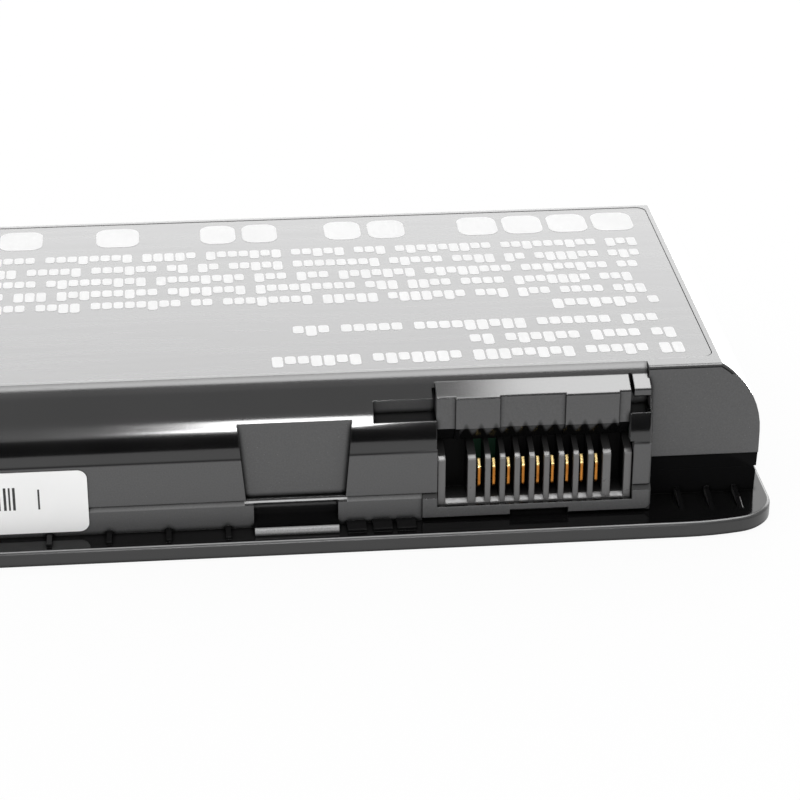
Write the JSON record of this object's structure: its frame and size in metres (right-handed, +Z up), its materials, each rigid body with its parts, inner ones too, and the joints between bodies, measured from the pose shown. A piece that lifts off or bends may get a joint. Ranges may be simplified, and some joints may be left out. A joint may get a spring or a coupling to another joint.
{
  "type": "laptop battery",
  "caption": "Long flat laptop battery pack with rounded shoulders, a stepped front with a comb-shaped contact connector, a latch recess, and a thin flange along its bottom edge.",
  "frame": {"origin": "under the middle of the pack's length and depth, on its flat bottom", "axes": "+X along the pack towards the connector's end, +Y from the contact side to the plain back, +Z up"},
  "size_m": [0.213, 0.068, 0.0225],
  "materials": {
    "case_plastic": "satin dark grey moulding, lightly scuffed",
    "connector_plastic": "matte dark grey moulding",
    "contact_gold": "gold-plated spring metal",
    "board_green": "solder-masked board",
    "chip_black": "moulded package",
    "strip_nickel": "nickel strip",
    "cell_wrap": "shrink-wrapped can",
    "insulating_paper": "insulating paper",
    "foam_tape": "double-sided tape",
    "label_film": "satin printed film",
    "sticker_paper": "white paper"
  },
  "bodies": {
    "root": {"upper_case": "case_plastic", "lower_case": "case_plastic", "connector_housing": "connector_plastic", "circuit_board": "board_green", "board_insulator": "insulating_paper", "negative_strip": "strip_nickel", "positive_strip": "strip_nickel", "end_paper_left": "insulating_paper", "end_paper_right": "insulating_paper", "gauge_chip": "chip_black", "protection_chip": "chip_black", "charge_transistor": "chip_black", "discharge_transistor": "chip_black", "sense_resistor": "chip_black", "safety_fuse": "chip_black", "rating_label": "label_film", "front_sticker": "sticker_paper", "contact_1": "contact_gold", "cell_1": "cell_wrap", "contact_2": "contact_gold", "cell_2": "cell_wrap", "contact_3": "contact_gold", "cell_3": "cell_wrap", "contact_4": "contact_gold", "cell_4": "cell_wrap", "contact_5": "contact_gold", "cell_5": "cell_wrap", "contact_6": "contact_gold", "cell_6": "cell_wrap", "contact_7": "contact_gold", "cell_7": "cell_wrap", "contact_8": "contact_gold", "cell_8": "cell_wrap", "contact_9": "contact_gold", "cell_9": "cell_wrap", "link_strip_1": "strip_nickel", "link_strip_2": "strip_nickel", "cell_tape_1": "foam_tape", "cell_tape_2": "foam_tape", "cell_tape_3": "foam_tape"}
  },
  "joints": []
}
